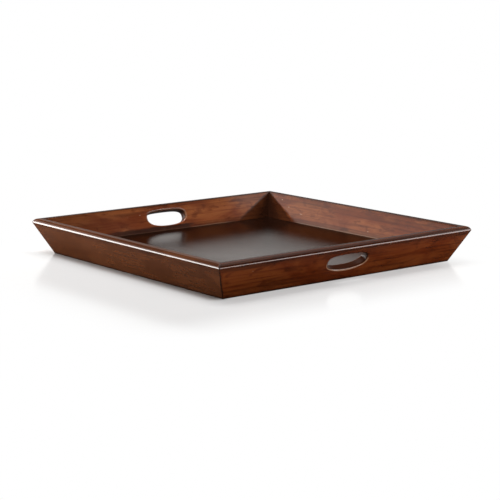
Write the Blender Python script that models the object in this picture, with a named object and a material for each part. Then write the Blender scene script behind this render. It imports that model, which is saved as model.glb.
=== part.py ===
"""Square ottoman tray: four flared boards, compound-mitred round a floor panel.

Two facing boards have a hand hole. The origin is the centre of the underside, +Z is up,
and the boards with the hand holes are at +X and -X.
"""
import math

import bmesh
import bpy
from mathutils import Matrix, Vector

# The tray's driving sizes, in metres.
WIDTH = 0.700          # across the outer arrises under the rim's round, both ways
HEIGHT = 0.0794        # underside to the top of the rim
FLARE = math.radians(27.0)   # lean of the boards from upright
BOARD = 0.020          # thickness of the boards, square to their faces
GAP = 0.0003           # glue line, and the clearance of every fitted piece
OVERRUN = 0.010        # how far a cut runs past the piece it cuts

# Board edges.
RIM_ROUND = 0.009      # radius of the quarter-round on the rim's outer edge
RIM_EASE = 0.0014      # softening of the rim's inner edge
FOOT_EASE = 0.0015     # softening of the outer edge that the tray stands on

# Floor panel, held in a groove in every board.
PANEL = 0.009          # thickness
PANEL_RISE = 0.0206    # underside of the tray to the top of the panel
GROOVE_DEPTH = 0.008   # how far the panel enters a board, along its top face

# Hand hole, measured on the board's outer face, up the slope from its foot.
HOLE_LENGTH = 0.109
HOLE_TOP = 0.0632
HOLE_WIDEST = 0.0478   # where the hole is longest
HOLE_BOTTOM = 0.0268
HOLE_SHIFT = 0.0030    # off the middle of the board, to the left as seen from outside
HOLE_EASE = 0.0040     # rounding of the hole's edge, on both faces
TOP_FULLNESS = 3.4     # a flat top with tight corners
BOTTOM_FULLNESS = 2.4  # a bottom that is nearly half an ellipse

# Splines that key the mitres.
SPLINE = 0.004         # thickness
SPLINE_WIDTH = 0.016   # across the joint
SPLINE_LENGTH = 0.038  # up the corner
SPLINE_RISE = 0.0455   # underside of the tray to the middle of a spline

# Corner blocks glued under the panel.
BLOCK_LEG = 0.050      # along each board
BLOCK_RECESS = 0.0024  # kept clear of the surface that the tray stands on

# Counts of facets.
ROUND_STEPS = 7
EASE_STEPS = 3
HOLE_STEPS = 44

LEAN = math.tan(FLARE)
ACROSS = BOARD / math.cos(FLARE)               # a board's thickness, measured level
OUTER_FOOT = WIDTH / 2 - (HEIGHT - RIM_ROUND) * LEAN
PANEL_UNDER = PANEL_RISE - PANEL

RED_BROWN = (0.135, 0.031, 0.008, 1.0)
DARK_BROWN = (0.130, 0.031, 0.008, 1.0)
FLOOR_BROWN = (0.028, 0.0075, 0.0026, 1.0)
BEECH = (0.520, 0.360, 0.210, 1.0)
POPLAR = (0.480, 0.400, 0.260, 1.0)


def outer(z):
    """Level distance from the tray's middle to the outer face of a board at height z."""
    return OUTER_FOOT + z * LEAN


def inner(z):
    """Level distance from the tray's middle to the inner face of a board at height z."""
    return outer(z) - ACROSS


def clear_scene():
    for obj in list(bpy.data.objects):
        bpy.data.objects.remove(obj, do_unlink=True)


def collection(name):
    made = bpy.data.collections.new(name)
    bpy.context.scene.collection.children.link(made)
    return made


def material(name, color, roughness):
    made = bpy.data.materials.new(name)
    made.use_nodes = True
    shader = made.node_tree.nodes["Principled BSDF"]
    shader.inputs["Base Color"].default_value = color
    shader.inputs["Roughness"].default_value = roughness
    shader.inputs["Metallic"].default_value = 0.0
    made.diffuse_color = color
    return made


def arc(centre, radius, start, end, steps):
    """Points of an arc in a flat outline, from one angle to another."""
    angles = [start + (end - start) * step / steps for step in range(steps + 1)]
    return [(centre[0] + radius * math.cos(a), centre[1] + radius * math.sin(a)) for a in angles]


def fillet(before, corner, after, radius, steps):
    """Points that round one corner of a flat outline, tangent to both of its sides."""
    point = Vector(corner)
    to_before = (Vector(before) - point).normalized()
    to_after = (Vector(after) - point).normalized()
    half = to_before.angle(to_after) / 2
    middle = point + (to_before + to_after).normalized() * (radius / math.sin(half))
    first = point + to_before * (radius / math.tan(half)) - middle
    last = point + to_after * (radius / math.tan(half)) - middle
    rounded = []
    for step in range(steps + 1):
        spoke = first.lerp(last, step / steps).normalized() * radius
        rounded.append(tuple(middle + spoke))
    return rounded


def extruded(name, outline, length, home):
    """A flat outline in X and Y, extruded by length about Z, as a mesh object."""
    curve = bpy.data.curves.new(name, "CURVE")
    curve.dimensions = "2D"
    curve.fill_mode = "BOTH"
    curve.extrude = length / 2
    spline = curve.splines.new("POLY")
    spline.points.add(len(outline) - 1)
    for point, (x, y) in zip(spline.points, outline):
        point.co = (x, y, 0.0, 1.0)
    spline.use_cyclic_u = True
    drawn = bpy.data.objects.new(name, curve)
    home.objects.link(drawn)
    bpy.context.view_layer.update()
    solid = bpy.data.meshes.new_from_object(drawn.evaluated_get(bpy.context.evaluated_depsgraph_get()))
    bpy.data.objects.remove(drawn, do_unlink=True)
    bpy.data.curves.remove(curve)
    welded = bmesh.new()
    welded.from_mesh(solid)
    bmesh.ops.remove_doubles(welded, verts=welded.verts, dist=GAP / 100)
    bmesh.ops.recalc_face_normals(welded, faces=welded.faces)
    welded.to_mesh(solid)
    welded.free()
    made = bpy.data.objects.new(name, solid)
    home.objects.link(made)
    return made


def block(name, size, matrix, home):
    """A box of the given size, centred on the matrix, with its scale applied."""
    mesh = bpy.data.meshes.new(name)
    box = bmesh.new()
    bmesh.ops.create_cube(box, size=1.0, matrix=Matrix.Diagonal((*size, 1.0)))
    box.to_mesh(mesh)
    box.free()
    made = bpy.data.objects.new(name, mesh)
    made.matrix_world = matrix
    home.objects.link(made)
    return made


def as_cutter(obj):
    obj.hide_render = True
    obj.display_type = "WIRE"
    return obj


def cut(target, cutters):
    """Cut the target by each cutter and keep the result as the target's own mesh."""
    for cutter in cutters:
        difference = target.modifiers.new(cutter.name, "BOOLEAN")
        difference.operation = "DIFFERENCE"
        difference.solver = "EXACT"
        difference.object = cutter
    bpy.context.view_layer.update()
    seen = target.evaluated_get(bpy.context.evaluated_depsgraph_get())
    result = bpy.data.meshes.new_from_object(seen)
    target.modifiers.clear()
    target.data = result


def board_outline():
    """Section of a board: level distance from the tray's middle, and height."""
    foot_in = (inner(0.0), 0.0)
    foot_out = (outer(0.0), 0.0)
    arris = (outer(HEIGHT - RIM_ROUND), HEIGHT - RIM_ROUND)
    rim_in = (inner(HEIGHT), HEIGHT)
    groove_end = inner(PANEL_RISE) + GROOVE_DEPTH
    groove_top, groove_floor = PANEL_RISE + GAP, PANEL_UNDER - GAP

    outline = [foot_in]
    outline += fillet(foot_in, foot_out, arris, FOOT_EASE, EASE_STEPS)
    round_centre = (arris[0] - RIM_ROUND, arris[1])
    outline += arc(round_centre, RIM_ROUND, 0.0, math.pi / 2, ROUND_STEPS)
    outline += fillet(outline[-1], rim_in, foot_in, RIM_EASE, EASE_STEPS)
    outline += [(inner(groove_top), groove_top), (groove_end, groove_top),
                (groove_end, groove_floor), (inner(groove_floor), groove_floor)]
    return outline


def corner_frame():
    """Axes of the joint at the +X +Y corner: up the corner, across the joint, and the third."""
    up = Vector((LEAN, LEAN, 1.0)).normalized()
    across = Vector((1.0, -1.0, 0.0)).normalized()
    frame = Matrix((across, up.cross(across), up)).transposed().to_4x4()
    middle = (outer(SPLINE_RISE) + inner(SPLINE_RISE)) / 2
    return Matrix.Translation((middle, middle, SPLINE_RISE)) @ frame


def spline_size(extra):
    return (SPLINE_WIDTH + 2 * extra, SPLINE + 2 * extra, SPLINE_LENGTH + 2 * extra)


def hole_ring(grow, depth):
    """Outline of the hand hole, grown all round, at a depth behind the board's outer face."""
    half = HOLE_LENGTH / 2 + grow
    ring = []
    for step in range(HOLE_STEPS):
        angle = 2 * math.pi * step / HOLE_STEPS
        along, up = math.cos(angle), math.sin(angle)
        fullness = TOP_FULLNESS if up > 0 else BOTTOM_FULLNESS
        reach = (HOLE_TOP - HOLE_WIDEST if up > 0 else HOLE_WIDEST - HOLE_BOTTOM) + grow
        ring.append((half * math.copysign(abs(along) ** (2 / fullness), along),
                     HOLE_WIDEST + reach * math.copysign(abs(up) ** (2 / fullness), up),
                     -depth))
    return ring


def hole_cutter(home):
    """Waisted plug whose ends flare like the rounded edges of the hand hole.

    It is lofted from rings of one outline. The last facet at each end runs on past the
    face in a straight line, so that the plug meets the face where the rounding ends.
    """
    steps = [math.pi / 2 * step / EASE_STEPS for step in range(EASE_STEPS + 1)]
    arc_points = [(HOLE_EASE * (1 - math.sin(a)), HOLE_EASE * (1 - math.cos(a))) for a in steps]
    (last_depth, last_grow), (end_depth, end_grow) = arc_points[-2:]
    beyond = (2 * end_depth - last_depth, 2 * end_grow - last_grow)
    outside = [beyond] + arc_points[-2::-1]
    stations = outside + [(BOARD - depth, grow) for depth, grow in reversed(outside)]

    plug = bmesh.new()
    rings = [[plug.verts.new(point) for point in hole_ring(grow, depth)]
             for depth, grow in stations]
    for one, two in zip(rings, rings[1:]):
        for i in range(HOLE_STEPS):
            j = (i + 1) % HOLE_STEPS
            plug.faces.new((one[i], one[j], two[j], two[i]))
    plug.faces.new(rings[0])
    plug.faces.new(reversed(rings[-1]))
    bmesh.ops.recalc_face_normals(plug, faces=plug.faces)
    mesh = bpy.data.meshes.new("hand_hole")
    plug.to_mesh(mesh)
    plug.free()
    made = bpy.data.objects.new("hand_hole", mesh)
    along = Vector((0.0, 1.0, 0.0))
    slope = Vector((math.sin(FLARE), 0.0, math.cos(FLARE)))
    made.matrix_world = (Matrix.Translation((OUTER_FOOT, -HOLE_SHIFT, 0.0))
                         @ Matrix((along, slope, along.cross(slope))).transposed().to_4x4())
    home.objects.link(made)
    return as_cutter(made)


def mitre_saw(side, home):
    """Box whose near face is the mitre of the +X board at its +Y (side 1) or -Y (side -1) end."""
    size = 2 * WIDTH
    turned = Matrix.Rotation(side * math.pi / 4, 4, "Z")
    shift = Matrix.Translation((0.0, side * (size - GAP) / 2, 0.0))
    return as_cutter(block(f"mitre_saw_{side}", (size, size, size), turned @ shift, home))


def spline_slot(side, home):
    """Slot for the spline at one end of the +X board."""
    frame = corner_frame() if side > 0 else Matrix.Rotation(-math.pi / 2, 4, "Z") @ corner_frame()
    return as_cutter(block(f"spline_slot_{side}", spline_size(GAP), frame, home))


def board(name, cutters, home):
    """The board at +X, extruded along Y from its section and then cut."""
    made = extruded(name, board_outline(), WIDTH + 2 * OVERRUN, home)
    made.data.transform(Matrix.Rotation(math.pi / 2, 4, "X"))
    cut(made, cutters)
    return made


def corner_block(name, home):
    """Triangular block in the +X +Y corner, its two long sides planed to the boards' lean."""
    low, high = BLOCK_RECESS, PANEL_UNDER - GAP
    corner = inner(low) - GAP
    triangle = [(corner, corner), (corner - BLOCK_LEG, corner), (corner, corner - BLOCK_LEG)]
    made = extruded(name, triangle, high - low, home)
    for vertex in made.data.vertices:
        if vertex.co.z > 0:
            vertex.co.x += (high - low) * LEAN
            vertex.co.y += (high - low) * LEAN
        vertex.co.z += (low + high) / 2
    return made


def finish(obj, look, turns=0):
    """Give a piece its material, quarter turns about Z, and smooth shading with sharp edges."""
    obj.data.materials.clear()
    obj.data.materials.append(look)
    obj.matrix_world = Matrix.Rotation(turns * math.pi / 2, 4, "Z") @ obj.matrix_world
    obj.data.shade_smooth()
    obj.data.set_sharp_from_angle(angle=math.radians(24.0))


def copy_of(obj, name, look, turns, home):
    """The same piece at another side or corner, with a material of its own."""
    made = bpy.data.objects.new(name, obj.data.copy())
    made.matrix_world = obj.matrix_world.copy()
    home.objects.link(made)
    finish(made, look, turns)
    return made


def build():
    clear_scene()
    parts = collection("ottoman_tray")
    cutters = collection("cutters")

    ends = [mitre_saw(side, cutters) for side in (1, -1)]
    ends += [spline_slot(side, cutters) for side in (1, -1)]
    hole = hole_cutter(cutters)

    plain = board("back_board", ends, parts)
    handled = board("right_handle_board", ends + [hole], parts)
    copy_of(plain, "front_board", material("front_board", DARK_BROWN, 0.26), 3, parts)
    copy_of(handled, "left_handle_board", material("left_handle_board", RED_BROWN, 0.26), 2, parts)
    finish(plain, material("back_board", DARK_BROWN, 0.26), 1)
    finish(handled, material("right_handle_board", RED_BROWN, 0.26))

    side = 2 * (inner(PANEL_RISE) + GROOVE_DEPTH - GAP)
    level = Matrix.Translation((0.0, 0.0, PANEL_RISE - PANEL / 2))
    panel = block("floor_panel", (side, side, PANEL), level, parts)
    finish(panel, material("floor_panel", FLOOR_BROWN, 0.20))

    corners = ("back_right", "back_left", "front_left", "front_right")
    spline = block("mitre_spline_" + corners[0], spline_size(0.0), corner_frame(), parts)
    wedge = corner_block("corner_block_" + corners[0], parts)
    for turns, where in enumerate(corners[1:], start=1):
        look = material("mitre_spline_" + where, BEECH, 0.6)
        copy_of(spline, "mitre_spline_" + where, look, turns, parts)
        look = material("corner_block_" + where, POPLAR, 0.6)
        copy_of(wedge, "corner_block_" + where, look, turns, parts)
    finish(spline, material("mitre_spline_" + corners[0], BEECH, 0.6))
    finish(wedge, material("corner_block_" + corners[0], POPLAR, 0.6))


build()
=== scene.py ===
"""Looks of the square ottoman tray: lacquered boards and panel, studio floor, light and camera."""
import math
from collections import namedtuple
from types import SimpleNamespace

import bmesh
import bpy
import numpy as np
from mathutils import Matrix, Vector


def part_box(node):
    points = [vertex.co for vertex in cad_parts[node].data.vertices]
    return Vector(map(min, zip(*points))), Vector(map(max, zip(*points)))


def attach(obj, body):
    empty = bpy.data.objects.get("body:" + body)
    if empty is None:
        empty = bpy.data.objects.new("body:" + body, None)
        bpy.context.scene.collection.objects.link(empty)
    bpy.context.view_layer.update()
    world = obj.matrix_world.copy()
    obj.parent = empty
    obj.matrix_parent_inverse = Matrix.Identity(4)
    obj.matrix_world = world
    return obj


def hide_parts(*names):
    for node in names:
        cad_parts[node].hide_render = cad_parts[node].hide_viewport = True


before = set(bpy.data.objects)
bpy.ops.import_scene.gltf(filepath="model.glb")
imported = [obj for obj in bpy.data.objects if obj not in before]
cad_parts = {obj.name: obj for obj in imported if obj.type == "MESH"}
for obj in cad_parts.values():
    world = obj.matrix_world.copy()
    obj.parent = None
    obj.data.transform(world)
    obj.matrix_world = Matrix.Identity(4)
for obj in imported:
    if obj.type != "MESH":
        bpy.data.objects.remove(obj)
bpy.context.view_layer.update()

# The boards' section, in metres. The small rounds are a little fuller than the solids'.
FLARE = math.radians(27.0)
BOARD = 0.020
RIM_ROUND = 0.009
ARRIS_EASE = 0.0005             # the crisp edge under the rim's round
RIM_START = math.radians(8.0)   # slope of the rim's round where it leaves the arris
RIM_EASE = 0.0016
FOOT_EASE = 0.0016
PANEL_RISE = 0.0206             # the panel's top above the foot
PANEL = 0.009
GROOVE_DEPTH = 0.008
FIT = 0.0003                    # clearance between the solids
CORNER_EASE = 0.0014            # round over the mitred corners of the outer faces

# The hand hole. Its heights are measured up the board's slope from the foot.
HOLE_LENGTH = 0.109
HOLE_TOP, HOLE_WIDEST, HOLE_BOTTOM = 0.0632, 0.0478, 0.0268
HOLE_SHIFT = 0.0030
HOLE_EASE = 0.0042
TOP_FULLNESS, BOTTOM_FULLNESS = 3.4, 2.4    # powers of its upper and lower half oval

# How finely the boards are split.
PITCH = 0.004
FOOT_STEPS, ARRIS_STEPS, RIM_STEPS, RIM_EASE_STEPS = 4, 3, 16, 6
CORNER_STEPS = 5
HOLE_STEPS, HOLE_EASE_STEPS = 128, 8
SAME_HEIGHT = 1e-6              # heights closer than this count as one
SHARP_TURN = math.radians(24.0)     # faces that meet at more than this aren't shaded as one

high = Vector(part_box("right_handle_board")[1])
HALF = high.x                   # half the tray's width
HEIGHT = high.z
ARRIS = HEIGHT - RIM_ROUND
LEAN = math.tan(FLARE)
SIN, COS = math.sin(FLARE), math.cos(FLARE)
OUTER_FOOT = HALF - ARRIS * LEAN

# A board's own frame: X along it, Y up its slope, Z out of its outer face, origin at the foot.
TO_TRAY = (Matrix.Translation((OUTER_FOOT, 0.0, 0.0))
           @ Matrix(((0.0, SIN, COS), (1.0, 0.0, 0.0), (0.0, COS, -SIN))).to_4x4())


def outer(z):
    return OUTER_FOOT + z * LEAN


def inner(z):
    return outer(z) - BOARD / COS


def fillet(before, corner, after, radius, steps):
    """Points that round one corner of a flat outline."""
    point = Vector(corner)
    a = (Vector(before) - point).normalized()
    b = (Vector(after) - point).normalized()
    half = a.angle(b) / 2
    middle = point + (a + b).normalized() * (radius / math.sin(half))
    first = point + a * (radius / math.tan(half)) - middle
    last = point + b * (radius / math.tan(half)) - middle
    spokes = [first.lerp(last, i / steps).normalized() * radius for i in range(steps + 1)]
    return [tuple(middle + spoke) for spoke in spokes]


def board_section():
    """Closed section of a board in (level distance, height), its flats split to the pitch."""
    foot_in, foot_out = (inner(0.0), 0.0), (outer(0.0), 0.0)
    arris = (outer(ARRIS), ARRIS)
    rim_in = (inner(HEIGHT), HEIGHT)
    radius = RIM_ROUND / (1 - math.sin(RIM_START))
    centre = (arris[0] - radius * math.cos(RIM_START), HEIGHT - radius)
    top, floor = PANEL_RISE + FIT, PANEL_RISE - PANEL - FIT
    end = inner(PANEL_RISE) + GROOVE_DEPTH

    points = [foot_in]
    points += fillet(foot_in, foot_out, arris, FOOT_EASE, FOOT_STEPS)
    points += fillet(foot_out, arris, (arris[0], HEIGHT), ARRIS_EASE, ARRIS_STEPS)
    angles = np.linspace(RIM_START + ARRIS_EASE / radius, math.pi / 2, RIM_STEPS)
    points += [(centre[0] + radius * math.cos(a), centre[1] + radius * math.sin(a)) for a in angles]
    points += fillet(points[-1], rim_in, foot_in, RIM_EASE, RIM_EASE_STEPS)
    points += [(inner(top), top), (end, top), (end, floor), (inner(floor), floor)]

    split = []
    for one, two in zip(points, points[1:] + points[:1]):
        gap = (Vector(two) - Vector(one)).length
        count = max(1, round(gap / PITCH))
        split += [tuple(Vector(one).lerp(Vector(two), i / count)) for i in range(count)]
    return split


def loft(name, rings):
    """Closed mesh through rings of points, capped at both ends."""
    solid = bmesh.new()
    rows = [[solid.verts.new(point) for point in ring] for ring in rings]
    for one, two in zip(rows, rows[1:]):
        for i in range(len(one)):
            j = (i + 1) % len(one)
            solid.faces.new((one[i], one[j], two[j], two[i]))
    solid.faces.new(rows[0])
    solid.faces.new(reversed(rows[-1]))
    bmesh.ops.recalc_face_normals(solid, faces=solid.faces)
    mesh = bpy.data.meshes.new(name)
    solid.to_mesh(mesh)
    solid.free()
    return mesh


def corner_eases(section):
    """How far each point of the section draws back from a mitred corner."""
    land_in, land_out = inner(HEIGHT), outer(ARRIS) - RIM_ROUND
    eases = []
    for level, z in section:
        if level <= inner(z) + FIT:
            share = 0.0
        elif z > HEIGHT - SAME_HEIGHT:      # the ease runs out across the level land
            share = (level - land_in) / (land_out - land_in)
        elif z < SAME_HEIGHT:               # and across the foot
            share = (level - inner(z)) / (BOARD / COS)
        else:
            share = 1.0
        eases.append(CORNER_EASE * min(1.0, max(0.0, share)))
    return eases


def board_mesh(name):
    """Mitred board as a fine grid, in its own frame, its outer corners eased."""
    section = board_section()
    eases = corner_eases(section)
    stations = int(round(2 * HALF / PITCH))
    angles = [math.pi / 4 * i / CORNER_STEPS for i in range(CORNER_STEPS + 1)]
    places = [(-1, angle) for angle in reversed(angles)]
    places += [(share, None) for share in np.linspace(-1, 1, stations + 1)[1:-1]]
    places += [(1, angle) for angle in angles]
    to_board = TO_TRAY.inverted()
    rings = []
    for share, angle in places:
        glue = math.copysign(FIT / 2, share)
        ring = []
        for (level, z), ease in zip(section, eases):
            if angle is None:
                along = share * (level - ease)
            else:
                along = share * (level - ease * (1 - math.sin(angle)))
                level -= ease * (1 - math.cos(angle))
            ring.append(to_board @ Vector((level, along - glue, z)))
        rings.append(ring)
    return loft(name, rings)


def hole_ring(grow, depth):
    """Outline of the hand hole, grown outward, at one depth under the outer face."""
    half = HOLE_LENGTH / 2 + grow
    high_reach, low_reach = HOLE_TOP - HOLE_WIDEST + grow, HOLE_WIDEST - HOLE_BOTTOM + grow
    ring = []
    for angle in np.linspace(0, 2 * math.pi, HOLE_STEPS, endpoint=False):
        along, up = math.cos(angle), math.sin(angle)
        fullness, reach = ((TOP_FULLNESS, high_reach) if up > 0
                           else (BOTTOM_FULLNESS, low_reach))
        ring.append((half * math.copysign(abs(along) ** (2 / fullness), along) - HOLE_SHIFT,
                     HOLE_WIDEST + reach * math.copysign(abs(up) ** (2 / fullness), up),
                     -depth))
    return ring


def hole_plug():
    """Cutter for the hand hole, in a board's own frame, with flared ends."""
    angles = [math.pi / 2 * i / HOLE_EASE_STEPS for i in range(HOLE_EASE_STEPS + 1)]
    arc = [(HOLE_EASE * (1 - math.sin(a)), HOLE_EASE * (1 - math.cos(a))) for a in angles]
    beyond = (2 * arc[-1][0] - arc[-2][0], 2 * arc[-1][1] - arc[-2][1])
    outside = [beyond] + arc[-2::-1]
    stations = outside + [(BOARD - depth, grow) for depth, grow in reversed(outside)]
    return loft("hand_hole_plug", [hole_ring(grow, depth) for depth, grow in stations])


def add(name, data):
    obj = bpy.data.objects.new(name, data)
    bpy.context.scene.collection.objects.link(obj)
    return obj


def drilled(mesh):
    """The mesh with the hand hole cut through it."""
    target = add("drilled", mesh)
    plug = add("hand_hole_plug", hole_plug())
    boolean = target.modifiers.new("hole", "BOOLEAN")
    boolean.operation, boolean.solver, boolean.object = "DIFFERENCE", "EXACT", plug
    bpy.context.view_layer.update()
    seen = target.evaluated_get(bpy.context.evaluated_depsgraph_get())
    result = bpy.data.meshes.new_from_object(seen)
    bpy.data.objects.remove(target, do_unlink=True)
    bpy.data.objects.remove(plug, do_unlink=True)
    return result


class Field:
    """What a node gives at each point, for plain arithmetic between nodes."""

    def __init__(self, nodes, socket):
        self.nodes = nodes
        self.socket = socket

    def __add__(self, other):
        return self.nodes.math("ADD", self, other)

    def __sub__(self, other):
        return self.nodes.math("SUBTRACT", self, other)

    def __rsub__(self, other):
        return self.nodes.math("SUBTRACT", other, self)

    def __mul__(self, other):
        return self.nodes.math("MULTIPLY", self, other)

    def __truediv__(self, other):
        return self.nodes.math("DIVIDE", self, other)

    def __rtruediv__(self, other):
        return self.nodes.math("DIVIDE", other, self)

    def __pow__(self, other):
        return self.nodes.math("POWER", self, other)

    def __abs__(self):
        return self.nodes.math("ABSOLUTE", self)


class Nodes:
    """Short calls for building the node tree of a material or a world."""

    MIX_SOCKETS = {"RGBA": (6, 7, 2), "VECTOR": (4, 5, 1)}      # first, second and result

    def __init__(self, owner):
        owner.use_nodes = True
        self.owner = owner
        self.tree = owner.node_tree

    def feed(self, socket, value):
        if isinstance(value, Field):
            self.tree.links.new(value.socket, socket)
        else:
            socket.default_value = value

    def add(self, kind, inputs=(), **settings):
        node = self.tree.nodes.new(kind)
        for key, value in settings.items():
            setattr(node, key, value)
        for key, value in dict(inputs).items():
            self.feed(node.inputs[key], value)
        return node

    def field(self, kind, output, inputs=(), **settings):
        return Field(self, self.add(kind, inputs, **settings).outputs[output])

    def shade(self, inputs):
        """Feeds the material's own shader."""
        for key, value in inputs.items():
            self.feed(self.tree.nodes["Principled BSDF"].inputs[key], value)

    def math(self, operation, a, b=0.0):
        return self.field("ShaderNodeMath", 0, {0: a, 1: b}, operation=operation)

    def largest(self, fields):
        result = fields[0]
        for field in fields[1:]:
            result = self.math("MAXIMUM", result, field)
        return result

    def step(self, value, low, high, to_low=0.0, to_high=1.0):
        """Smooth passage between two results while the value passes from low to high."""
        return self.field("ShaderNodeMapRange", "Result",
                          {"Value": value, "From Min": low, "From Max": high,
                           "To Min": to_low, "To Max": to_high}, interpolation_type="SMOOTHSTEP")

    def blend(self, share, at_none, at_full):
        """Smooth passage between two results with a share from 0 to 1."""
        return self.step(share, 0.0, 1.0, at_none, at_full)

    def noise(self, vector, noise):
        return self.field("ShaderNodeTexNoise", "Fac",
                          {"Vector": self.place(vector, noise.per_metre), "Scale": 1.0,
                           "Detail": noise.detail, "Roughness": noise.roughness,
                           "Distortion": noise.distortion})

    def patches(self, vector, noise, outside=0.0, within=1.0):
        """The noise as patches with soft edges."""
        return self.step(self.noise(vector, noise), *noise.edge, outside, within)

    def place(self, vector, scale=(1, 1, 1), location=(0, 0, 0)):
        return self.field("ShaderNodeMapping", "Vector",
                          {"Vector": vector, "Scale": scale, "Location": location})

    def turned(self, vector, matrix):
        return self.field("ShaderNodeMapping", "Vector",
                          {"Vector": vector, "Rotation": matrix.to_euler("XYZ"),
                           "Location": matrix.to_translation()})

    def split(self, vector):
        """The vector's three parts."""
        node = self.add("ShaderNodeSeparateXYZ", {0: vector})
        return [Field(self, output) for output in node.outputs]

    def mix(self, factor, a, b, kind="RGBA", blend="MIX"):
        first, second, result = self.MIX_SOCKETS[kind]
        return self.field("ShaderNodeMix", result, {"Factor": factor, first: a, second: b},
                          data_type=kind, blend_type=blend)

    def mix_shaders(self, factor, a, b):
        return self.field("ShaderNodeMixShader", 0, {0: factor, 1: a, 2: b})


def rgba(color):
    return (*color, 1.0)


def from_base(base, pair):
    """Two places, given by how far each lies above a base."""
    return [base + rise for rise in pair]


# Noise over wood: swings per metre along and across the grain, the texture's own settings, and
# between which of its values a patch has its soft edge.
Noise = namedtuple("Noise", "per_metre detail roughness distortion edge",
                   defaults=(0.5, 0.0, None))
CLOUDS = Noise((6.0, 17.0, 17.0), 3.0, 0.55, 0.9, (0.40, 0.62))
MOTTLE = Noise((26.0, 70.0, 70.0), 3.0, 0.6, 0.6, (0.50, 0.70))
STREAKS = Noise((5.0, 150.0, 150.0), 4.0, 0.6, 0.4, (0.46, 0.66))
PORES = Noise((40.0, 700.0, 700.0), 2.0, 0.6, 0.0, (0.55, 0.70))
WANDER = Noise((40.0, 40.0, 40.0), 2.0)
RIM_PATCHES = Noise((7.0, 12.0, 12.0), 1.0, edge=(0.35, 0.60))
SWELL = Noise((7.0, 16.0, 16.0), 2.0)
BOARD_GLOSS = Noise((14.0, 30.0, 30.0), 2.0, edge=(0.3, 0.7))
PANEL_GLOSS = Noise((5.0, 5.0, 5.0), 2.0, edge=(0.3, 0.7))

MOTTLE_DARK, STREAK_DARK, PORE_DARK = 0.65, 0.60, 0.22
PORE_SHADE = 0.3                # a pore's colour over the dark tone
SEED_SHIFT = Vector((3.7, 1.3, 0.7))    # metres between two boards' places in the noise

# Stain colours, as dark, middle and light tones.
TONES = ((0.075, 0.0150, 0.0042), (0.165, 0.0360, 0.0090), (0.250, 0.0720, 0.0210))
PALE = 1.4                      # how much paler the far handle board is
PALE_TONES = [[PALE * part for part in tone] for tone in TONES]
SMOOTH_TONES = ((0.072, 0.0230, 0.0085), (0.110, 0.0360, 0.0125), (0.150, 0.0520, 0.0190))
PANEL_TONES = ((0.005, 0.0014, 0.0005), (0.0085, 0.0022, 0.0008), (0.013, 0.0035, 0.0012))
BARE_TONES = ((0.36, 0.25, 0.15), (0.50, 0.37, 0.23), (0.58, 0.45, 0.29))
# The outer faces' tints are painted shade; the front board's greyer tint also paints in the floor's
# reflection.
OUTER_SHADE_TINT = (0.66, 0.54, 0.40)     # what the outer faces are multiplied by
SMOOTH_SHADE_TINT = (0.74, 0.69, 0.68)
# Dark tone for burnish, and for painted shade in the corners, above the panel and under the hand
# hole.
BURNISH_AND_SHADE = (0.018, 0.0060, 0.0030)
# Painted highlight tone, for the line along the panel and round the hand hole's edges.
GLINT_TONE = (0.36, 0.20, 0.12)
# Painted glint in the nicks, which are real dents in the relief.
NICK_GLINT = (0.62, 0.40, 0.26)

BOARD_ROUGHNESS, PANEL_ROUGHNESS, BARE_ROUGHNESS = (0.08, 0.13), (0.20, 0.24), 0.65
BOARD_IOR, PANEL_IOR = 1.5, 1.15
# How much steeper than the wood the lacquer of the inner faces reflects.
HANDLE_DISH, PLAIN_DISH = math.radians(10.4), math.radians(5.6)
SWELL_RELIEF, PORE_RELIEF, NICK_RELIEF = 0.55, 0.02, 0.12
BOARD_BUMP = {"Strength": 0.10, "Distance": 0.002}
DISH_BUMP = {"Strength": 1.0, "Distance": 1.0}
PANEL_BUMP = {"Strength": 0.02, "Distance": 0.0005}

# Where a board is darkened, by burnish and by painted shade. A pair is where its soft edge begins
# and ends, in metres, and the number after a pair is how dark it gets.
NOISE_MEAN = 0.5
WANDER_REACH = 0.006            # how far the edges wander
INSIDE_SHARES = -0.6, -0.8      # depths, over the board's thickness, where the inner face begins
MITRE_BAND, MITRE_DARK = (0.0012, 0.0038), 0.75
FOOT_BAND, FOOT_DARK = (0.001, 0.006), 0.70
# Painted shade on the inner faces just above the panel, where they meet it.
PANEL_SHADE_BAND, PANEL_SHADE_DARK = (0.0, 0.013), 0.60             # above the panel
INNER_RIM_BAND, INNER_RIM_DARK = (-0.0040, -0.0015), 0.65       # from the rim's top
BELOW_ARRIS = -0.0150, -0.0010                          # from the arris
BELOW_LEAST, BELOW_MORE = 0.2, 0.6      # under every arris, and what the most rim darkening adds
ARRIS_LINE = 0.0001, -0.0006
RIM_PATCH_LEAST = 0.45
ROUND_FOOT, ROUND_TOP = (0.0, 0.0030), (-0.0004, -0.0014)       # from the arris, from the top
LAND_RISE, LAND_SHARES = (-0.0012, -0.0004), (-0.35, -0.7)
LAND_DULL = 0.75                # added to the roughness
KNUCKLE_BAND, KNUCKLE_DULL = (0.0010, 0.0034), 0.75     # the mitre's end on the rim's round
KNUCKLE_RISE = 0.0, 0.002
END_SHARE = 0.9                 # of the half width, where the shade towards an end is full

# Painted shade in an inner corner, where each wall shades the other. Its edge leans, so it is
# told by the distance from the mitre over the drop from a point just above the rim.
CORNER_SHADE_ABOVE = 0.004
CORNER_SHADE_EDGE = 1.42, 1.72
CORNER_SHADE_SPAN = 0.2, 1.3
CORNER_SHADE_DARK = 0.94, 0.76         # at the corner and further out

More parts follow.
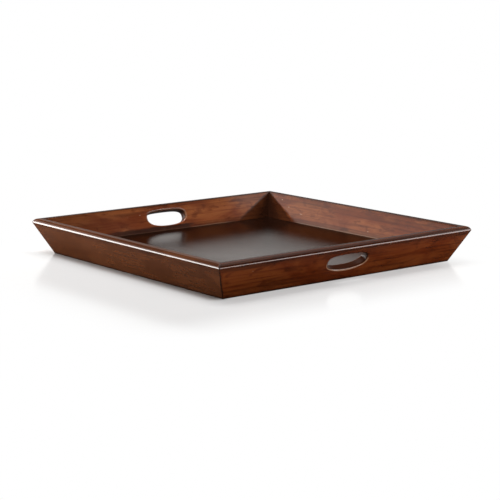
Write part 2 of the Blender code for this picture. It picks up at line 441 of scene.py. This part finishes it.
# Painted highlight along the panel, and nicks. Both stay out of the painted corner shade.
PANEL_GLINT, PANEL_GLINT_WANDER = (0.0030, 0.0016), 0.3
PANEL_GLINT_FROM, PANEL_GLINT_STRENGTH = (1.5, 2.2), 0.35
NICKS_FROM = 1.3, 1.75
NICK_OUTSIDE = 0.35             # strength on the outer faces over that on the inner ones
NICK_STRENGTH = 0.6
NICK_CORE = 0.5                 # the part of a nick's radius that is full
# Each kind's stretch, cells per metre, share of the cells that have a nick, and its radius.
ROUND_NICKS = (0.5, 1.0, 1.0), 60.0, 0.24, 0.0013
LONG_NICKS = (0.16, 1.0, 1.0), 48.0, 0.30, 0.0012

# Round the hand hole. "Off" is the distance out from its edge and "up" the height above its
# widest line.
BORE_OFF, BORE_ENDS = (0.0034, 0.0012), (0.0008, 0.0026)
BORE_DARK, BORE_DULL = 0.85, 0.22
RUBBED_UP = -0.004, -0.009      # the lower wall, where fingers rub the lacquer off
SPECULAR, RUBBED_SPECULAR = 0.5, 0.02
SKIRT_OUT, SKIRT_IN = (0.0050, 0.0042), (0.0006, 0.0018)
EDGE_DEPTH = 0.0036, 0.0024
# Painted highlight round the hole's edges: its bands of height on the outer and inner edge, and its
# strength.
OUTER_GLINT_UP, INNER_GLINT_UP, HOLE_GLINT = (0.004, -0.006), (-0.016, -0.004), 0.65
# Painted shade between the hole and the panel, deepening the wall's darkening towards the panel:
# its ends from the hole's middle, and its top from the panel.
SHADE_POOL_RIGHT, SHADE_POOL_LEFT, SHADE_POOL_TOP = (-0.085, -0.050), (0.260, 0.120), (0.0135, 0.0085)
SHADE_POOL_DARK, SHADE_POOL_GLINT = 0.85, 0.2
LEAST_RING = 0.001              # keeps the distance sound at the hole's middle

# How one board's finish and painted shade differ from the others': its tones, its outer faces' tint
# (painted shade), how dark the rim's round and land are made, how strong the figure is, and how
# dark its end at +X of its frame is.
Finish = namedtuple("Finish", "tones tint rim_dark land_dark figure end_dark",
                    defaults=(TONES, OUTER_SHADE_TINT, 0.25, 0.95, 1.0, 0.0))
FINISHES = {
    "right_handle_board": Finish(rim_dark=0.80),
    "back_board": Finish(),
    "left_handle_board": Finish(tones=PALE_TONES, end_dark=0.5),
    "front_board": Finish(tones=SMOOTH_TONES, tint=SMOOTH_SHADE_TINT, land_dark=0.5, figure=0.5),
}


def stained_grain(n, here, seed, tones, figure=1.0):
    """Colour of stained, close-grained wood with its grain along X, and the wood's own place."""
    dark, middle, light = tones
    grain = n.place(here, location=seed * SEED_SHIFT)
    base = n.mix(n.patches(grain, CLOUDS), rgba(middle), rgba(light))
    pore = [PORE_SHADE * part for part in dark]
    for noise, strength, color in ((MOTTLE, MOTTLE_DARK, dark), (STREAKS, STREAK_DARK, dark),
                                   (PORES, PORE_DARK, pore)):
        base = n.mix(n.patches(grain, noise, 0.0, strength * figure), base, rgba(color))
    return base, grain


def board_places(n, here, grain):
    """Where a point of a board lies, in metres, in the board's own frame."""
    along, slope, depth = n.split(here)
    height = slope * COS - depth * SIN
    mitre = slope * SIN + depth * COS + OUTER_FOOT - abs(along)
    wander = (n.noise(grain, WANDER) - NOISE_MEAN) * WANDER_REACH
    return SimpleNamespace(along=along, slope=slope, depth=depth, height=height, mitre=mitre,
                           wander=wander,
                           inside=n.step(depth, *[BOARD * share for share in INSIDE_SHARES]),
                           corner=(mitre + wander) / (HEIGHT + CORNER_SHADE_ABOVE - height))


def edge_marks(n, at, grain, finish):
    """How dark a board is made along its edges and joints: burnish, and painted shade, one field
    each.
    """
    rough_height = at.height + at.wander
    below_dark = BELOW_LEAST + BELOW_MORE * finish.rim_dark
    below = n.step(at.height, *from_base(ARRIS, BELOW_ARRIS), 0.0, below_dark)
    below *= n.step(at.height, *from_base(ARRIS, ARRIS_LINE))
    rounded = n.step(at.height, *from_base(ARRIS, ROUND_FOOT), 0.0, finish.rim_dark)
    return [
        n.step(at.mitre + at.wander, *MITRE_BAND, MITRE_DARK, 0.0),
        n.step(rough_height, *FOOT_BAND, FOOT_DARK, 0.0),
        # painted shade in the inner corner
        at.inside * n.step(at.corner, *CORNER_SHADE_EDGE, 1.0, 0.0)
        * n.step(at.corner, *CORNER_SHADE_SPAN, *CORNER_SHADE_DARK),
        # painted shade just above the panel
        at.inside * n.step(rough_height, *from_base(PANEL_RISE, PANEL_SHADE_BAND), PANEL_SHADE_DARK, 0.0),
        at.inside * n.step(at.height, *from_base(HEIGHT, INNER_RIM_BAND), 0.0, INNER_RIM_DARK),
        below * n.patches(grain, RIM_PATCHES, RIM_PATCH_LEAST, 1.0),
        rounded * n.step(at.height, *from_base(HEIGHT, ROUND_TOP)),
        at.inside * n.step(at.along, 0.0, END_SHARE * HALF, 0.0, finish.end_dark),
    ]


def hole_masks(n, at):
    """Masks of the hand hole's wall and round it, with its painted shade and painted highlight."""
    across, up = at.along + HOLE_SHIFT, at.slope - HOLE_WIDEST
    upper = n.math("GREATER_THAN", up, 0.0)
    power = upper * (TOP_FULLNESS - BOTTOM_FULLNESS) + BOTTOM_FULLNESS
    reach = upper * (HOLE_TOP + HOLE_BOTTOM - 2 * HOLE_WIDEST) + (HOLE_WIDEST - HOLE_BOTTOM)
    ring = abs(across / (HOLE_LENGTH / 2)) ** power + abs(up / reach) ** power
    times = n.math("MAXIMUM", ring, LEAST_RING) ** (1.0 / power)
    spoke = n.math("SQRT", across * across + up * up)
    off = spoke - spoke / times

    bore = (n.step(off, *BORE_OFF) * n.step(at.depth, *[-depth for depth in BORE_ENDS])
            * n.step(at.depth, *from_base(-BOARD, BORE_ENDS)))
    # painted shade between the hole and the panel
    pool = (n.step(across, *SHADE_POOL_RIGHT) * n.step(across, *SHADE_POOL_LEFT)
            * n.step(at.height + at.wander, *from_base(PANEL_RISE, SHADE_POOL_TOP)) * at.inside)
    outer_edge = n.step(at.depth, *[-depth for depth in EDGE_DEPTH]) * n.step(up, *OUTER_GLINT_UP)
    inner_edge = (n.step(at.depth, *from_base(-BOARD, EDGE_DEPTH))
                  * n.step(up, *INNER_GLINT_UP))
    # painted highlight round the hole's edges
    skirt = n.step(off, *SKIRT_OUT) * n.step(off, *SKIRT_IN)
    edge_glint = skirt * n.largest([outer_edge, inner_edge]) * (1.0 - pool)
    return SimpleNamespace(bore=bore, pool=pool, edge_glint=edge_glint, rubbed=bore * n.step(up, *RUBBED_UP))


def speckled(n, grain, stretch, per_metre, share, radius):
    """Mask of small round marks, one at most in each cell."""
    cells = n.add("ShaderNodeTexVoronoi",
                  {"Vector": n.place(grain, stretch), "Scale": per_metre}).outputs
    picked = n.math("LESS_THAN", n.split(Field(n, cells["Color"]))[0], share)
    reach = radius * per_metre
    return picked * n.step(Field(n, cells["Distance"]), reach, NICK_CORE * reach)


def lacquer(n, at, grain, nicks, dull, dish_lean):
    """Gloss and relief of a board. Its inner face reflects as if it stood steeper."""
    relief = (n.noise(grain, SWELL) * SWELL_RELIEF + n.noise(grain, PORES) * PORE_RELIEF
              - nicks * NICK_RELIEF)
    wood = n.field("ShaderNodeBump", "Normal", {"Height": relief, **BOARD_BUMP})
    dish = n.field("ShaderNodeBump", "Normal",
                   {"Height": at.slope * math.tan(dish_lean), "Normal": wood, **DISH_BUMP})
    n.shade({"Roughness": n.patches(grain, BOARD_GLOSS, *BOARD_ROUGHNESS) + dull,
             "IOR": BOARD_IOR,
             "Normal": n.mix(at.inside, wood, dish, "VECTOR")})


def board_wood(name, to_board, seed, holed, finish):
    """Lacquered wood of a flared board, burnished along its edges and joints, with painted shade
    and highlights.
    """
    n = Nodes(bpy.data.materials.new(name))
    here = n.turned(n.field("ShaderNodeTexCoord", "Object"), to_board)
    base, grain = stained_grain(n, here, seed, finish.tones, finish.figure)
    at = board_places(n, here, grain)
    # the outer faces' tint is painted shade
    base = n.mix(at.inside, n.mix(1.0, base, rgba(finish.tint), blend="MULTIPLY"), base)

    land = (n.step(at.height, *from_base(HEIGHT, LAND_RISE))
            * n.step(at.depth, *[BOARD * share for share in LAND_SHARES]))
    knuckle = (n.step(at.mitre, *KNUCKLE_BAND, KNUCKLE_DULL, 0.0)
               * n.step(at.height, *from_base(ARRIS, KNUCKLE_RISE)) * (1.0 - at.inside))
    marks = edge_marks(n, at, grain, finish) + [land * finish.land_dark]
    dull = [land * LAND_DULL, knuckle]
    # painted highlight along the foot of the inner faces, at the panel
    panel_glint = at.inside * n.step(at.height + at.wander * PANEL_GLINT_WANDER,
                                   *from_base(PANEL_RISE, PANEL_GLINT))
    if holed:
        hole = hole_masks(n, at)
        # the hole's dark bore, and the painted shade under the hole
        marks += [hole.bore * BORE_DARK, hole.pool * SHADE_POOL_DARK]
        dull.append(hole.bore * BORE_DULL)
        panel_glint *= n.blend(hole.pool, 1.0, SHADE_POOL_GLINT)
        # paint in the highlight round the hole's edges
        base = n.mix(hole.edge_glint * HOLE_GLINT, base, rgba(GLINT_TONE))
        n.shade({"Specular IOR Level": n.blend(hole.rubbed, SPECULAR, RUBBED_SPECULAR)})
    # burnish, and painted shade in the corners, above the panel and under the hand hole
    base = n.mix(n.largest(marks), base, rgba(BURNISH_AND_SHADE))
    # paint in the highlight along the panel
    base = n.mix(panel_glint * n.step(at.corner, *PANEL_GLINT_FROM, 0.0, PANEL_GLINT_STRENGTH), base,
                 rgba(GLINT_TONE))

    nicks = (n.largest([speckled(n, grain, *kind) for kind in (ROUND_NICKS, LONG_NICKS)])
             * n.blend(at.inside, NICK_OUTSIDE, 1.0) * n.step(at.corner, *NICKS_FROM))
    # the nicks' pale colour is a painted glint
    n.shade({"Base Color": n.mix(nicks * NICK_STRENGTH, base, rgba(NICK_GLINT))})
    lacquer(n, at, grain, nicks, n.largest(dull), HANDLE_DISH if holed else PLAIN_DISH)
    return n.owner


def panel_wood(name, seed):
    """The floor panel: darker and smoother than the boards."""
    n = Nodes(bpy.data.materials.new(name))
    base, grain = stained_grain(n, n.field("ShaderNodeTexCoord", "Object"), seed, PANEL_TONES)
    n.shade({"Base Color": base,
             "Roughness": n.patches(grain, PANEL_GLOSS, *PANEL_ROUGHNESS),
             "IOR": PANEL_IOR,
             "Normal": n.field("ShaderNodeBump", "Normal",
                               {"Height": n.noise(grain, PORES), **PANEL_BUMP})})
    return n.owner


def bare_wood(name, seed):
    """Unfinished wood of the hidden blocks and splines."""
    n = Nodes(bpy.data.materials.new(name))
    base = stained_grain(n, n.field("ShaderNodeTexCoord", "Object"), seed, BARE_TONES)[0]
    n.shade({"Base Color": base, "Roughness": BARE_ROUGHNESS})
    return n.owner


def smooth(mesh):
    mesh.shade_smooth()
    mesh.set_sharp_from_angle(angle=SHARP_TURN)


PANEL_SEED, BARE_SEED = 9, 12       # the boards have 1 to 4

plain = board_mesh("plain_board")
handled = drilled(board_mesh("handle_board"))
for quarter, (node, finish) in enumerate(FINISHES.items()):
    holed = "handle" in node
    own = (handled if holed else plain).copy()
    from_board = Matrix.Rotation(quarter * math.pi / 2, 4, "Z") @ TO_TRAY
    own.transform(from_board)
    smooth(own)
    board = add(node + "_lacquered", own)
    own.materials.clear()
    own.materials.append(board_wood(node + "_wood", from_board.inverted(), quarter + 1, holed,
                                    finish))
    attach(board, "root")
    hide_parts(node)
    "stained_handle_board" if "handle" in node else "stained_board"


def dress(node, material):
    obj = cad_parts[node]
    obj.data.materials.clear()
    obj.data.materials.append(material)


dress("floor_panel", panel_wood("floor_wood", PANEL_SEED))
bare = bare_wood("bare_wood", BARE_SEED)
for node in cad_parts:
    if node.startswith(("corner_block", "mitre_spline")):
        dress(node, bare)


# Camera, solved from the tray's straight edges in the photograph.
AZIMUTH, ELEVATION, ROLL = math.radians(51.453), math.radians(10.576), math.radians(-0.0616)
DISTANCE = 3.5342
AIM = Vector((-0.0652175, 0.0566200, 0.0))
LENS, SENSOR = 110.572, 36.0        # millimetres

# The studio floor, in metres. The camera sees it shaded near the tray and plain white further out.
FLOOR_REACH = 60.0
FADE_CENTRE = Vector((0.03, -0.12, 0.0))
FADE_EDGE = 0.00, 0.18          # from the tray's edge to where the floor is plain white
FLOOR_SHEEN, SHEEN_ROUGHNESS = 0.36, 0.16
FLOOR_LIFT, FLOOR_WHITE = 0.50, 0.91    # share of its own even light, which softens the shadow
# How pale the camera sees it under the tray's middle, the change per metre to the right, and the
# limits. The change to the right is painted light.
FLOOR_TONE, FLOOR_SLOPE, TONE_LEAST, TONE_MOST = 0.72, 0.16, 0.35, 1.4
FLOOR_BOUNCE = (0.60, 0.58, 0.56)       # as it lights the tray
FLOOR_MIRRORED = (0.06, 0.06, 0.06)     # as the lacquer mirrors it
# The band ahead of the front foot in which the floor keeps its full shadow.
CONTACT_BAND, CONTACT_FADE, CONTACT_END = (-0.02, 0.0), (0.05, 0.0), 0.02


def floor_material():
    """White floor that the camera sees shaded near the tray. It is clear from below."""
    n = Nodes(bpy.data.materials.new("studio_floor"))
    path = n.add("ShaderNodeLightPath").outputs
    seen, glossy = Field(n, path["Is Camera Ray"]), Field(n, path["Is Glossy Ray"])
    here = n.field("ShaderNodeTexCoord", "Object")
    x, y = n.split(here)[:2]

    # painted light: the floor is paler towards the right
    to_right = x * math.cos(AZIMUTH) + y * math.sin(AZIMUTH)
    tone = n.math("MAXIMUM", to_right * FLOOR_SLOPE + FLOOR_TONE, TONE_LEAST)
    tone = n.math("MINIMUM", tone, TONE_MOST)
    bounce = n.mix(glossy, rgba(FLOOR_BOUNCE), rgba(FLOOR_MIRRORED))
    cloth = n.field("ShaderNodeBsdfDiffuse", 0, {"Color": n.mix(seen, bounce, tone)})
    sheen = n.field("ShaderNodeBsdfGlossy", 0, {"Roughness": SHEEN_ROUGHNESS,
                                                "Color": rgba((1.0, 1.0, 1.0))})
    polished = n.mix_shaders(seen * FLOOR_SHEEN, cloth, sheen)

    ahead = -OUTER_FOOT - y
    contact = (n.step(ahead, *CONTACT_BAND) * n.step(ahead, *CONTACT_FADE)
               * n.step(x, OUTER_FOOT + CONTACT_END, OUTER_FOOT - CONTACT_END))
    even = n.field("ShaderNodeEmission", 0, {"Strength": FLOOR_WHITE})
    lifted = n.mix_shaders(seen * n.blend(contact, FLOOR_LIFT, 0.0), polished, even)

    sides = n.split(n.place(here, location=-FADE_CENTRE))[:2]
    beyond = [n.math("MAXIMUM", abs(side) - HALF, 0.0) for side in sides]
    distance = n.math("SQRT", beyond[0] * beyond[0] + beyond[1] * beyond[1])
    white = n.field("ShaderNodeEmission", 0, {"Strength": 1.0})
    faded = n.mix_shaders(n.step(distance, *FADE_EDGE) * seen, lifted, white)

    clear = n.field("ShaderNodeBsdfTransparent", 0)
    sided = n.mix_shaders(n.field("ShaderNodeNewGeometry", "Backfacing"), faded, clear)
    n.feed(n.tree.nodes["Material Output"].inputs["Surface"], sided)
    return n.owner


bpy.ops.mesh.primitive_plane_add(size=2 * FLOOR_REACH, location=(0.0, 0.0, 0.0))
floor = bpy.context.object
floor.name = "studio_floor"
floor.data.materials.append(floor_material())


def softbox(name, place, target, width, height, radiance):
    """Area light whose face has the given radiance."""
    light = bpy.data.lights.new(name, "AREA")
    light.shape = "RECTANGLE"
    light.size, light.size_y = width, height
    light.energy = radiance * width * height * math.pi
    lamp = add(name, light)
    lamp.location = place
    lamp.rotation_euler = (Vector(target) - Vector(place)).to_track_quat("-Z", "Y").to_euler()


# Each lamp's place, the point that it faces, its width and height, in metres, and its radiance.
# The low and middle ones are what the boards mirror, and the high ones light the floor and shadow.
SOFTBOXES = {
    "left_low": ((-0.92, -1.12, 0.205), (0.0, -0.35, 0.205), 0.86, 0.40, 13.0),
    "right_low": ((1.11, 0.61, 0.22), (0.346, -0.035, 0.22), 0.95, 0.32, 6.4),
    "left_mid": ((-1.72, -0.90, 0.80), (0.0, 0.31, 0.80), 1.8, 0.50, 0.90),
    "right_mid": ((0.99, 2.08, 1.00), (-0.61, 0.73, 1.00), 1.2, 0.62, 1.1),
    "key_high": ((-0.52, -0.60, 2.25), (0.0, 0.0, 0.0), 1.25, 1.25, 8.3),
    "top_high": ((0.10, 0.20, 2.40), (-0.1, 0.0, 0.0), 0.8, 0.8, 12.5),
}
for name, settings in SOFTBOXES.items():
    softbox(name, *settings)

# The studio's walls, by the direction in which they are seen: a bright band near the horizon, less
# bright towards +X, dark above it, and a dim ceiling. The camera sees plain white.
BAND_RISE, BAND_GLOW = (0.20, 0.37), (1.34, 0.03)
BAND_SIDE, BAND_DIM = (-0.20, 0.50), (1.0, 0.22)
CEILING_RISE, CEILING_GLOW = (0.55, 0.80), 0.50
WALL_COLOR = (1.0, 0.965, 0.935)


def light_world():
    """The studio round the tray."""
    world = bpy.data.worlds.new("studio")
    bpy.context.scene.world = world
    n = Nodes(world)
    n.tree.nodes.clear()
    x, _, z = n.split(n.field("ShaderNodeTexCoord", "Generated"))
    glow = (n.step(z, *BAND_RISE, *BAND_GLOW) * n.step(x, *BAND_SIDE, *BAND_DIM)
            + n.step(z, *CEILING_RISE, 0.0, CEILING_GLOW))
    walls = n.field("ShaderNodeBackground", 0, {"Color": rgba(WALL_COLOR), "Strength": glow})
    white = n.field("ShaderNodeBackground", 0, {"Strength": 1.0})
    seen = n.field("ShaderNodeLightPath", "Is Camera Ray")
    n.add("ShaderNodeOutputWorld", {"Surface": n.mix_shaders(seen, walls, white)})


light_world()


def add_camera():
    """Camera at the photograph's view."""
    back = Vector((math.sin(AZIMUTH) * math.cos(ELEVATION),
                   -math.cos(AZIMUTH) * math.cos(ELEVATION), math.sin(ELEVATION)))
    right = Vector((math.cos(AZIMUTH), math.sin(AZIMUTH), 0.0))
    up = back.cross(right)
    right, up = (right * math.cos(ROLL) + up * math.sin(ROLL),
                 up * math.cos(ROLL) - right * math.sin(ROLL))
    data = bpy.data.cameras.new("camera")
    data.lens = LENS
    data.sensor_width = SENSOR
    camera = add("camera", data)
    camera.matrix_world = (Matrix.Translation(AIM + back * DISTANCE)
                           @ Matrix((right, up, back)).transposed().to_4x4())
    bpy.context.scene.camera = camera


add_camera()
bpy.context.scene.view_settings.view_transform = "Standard"
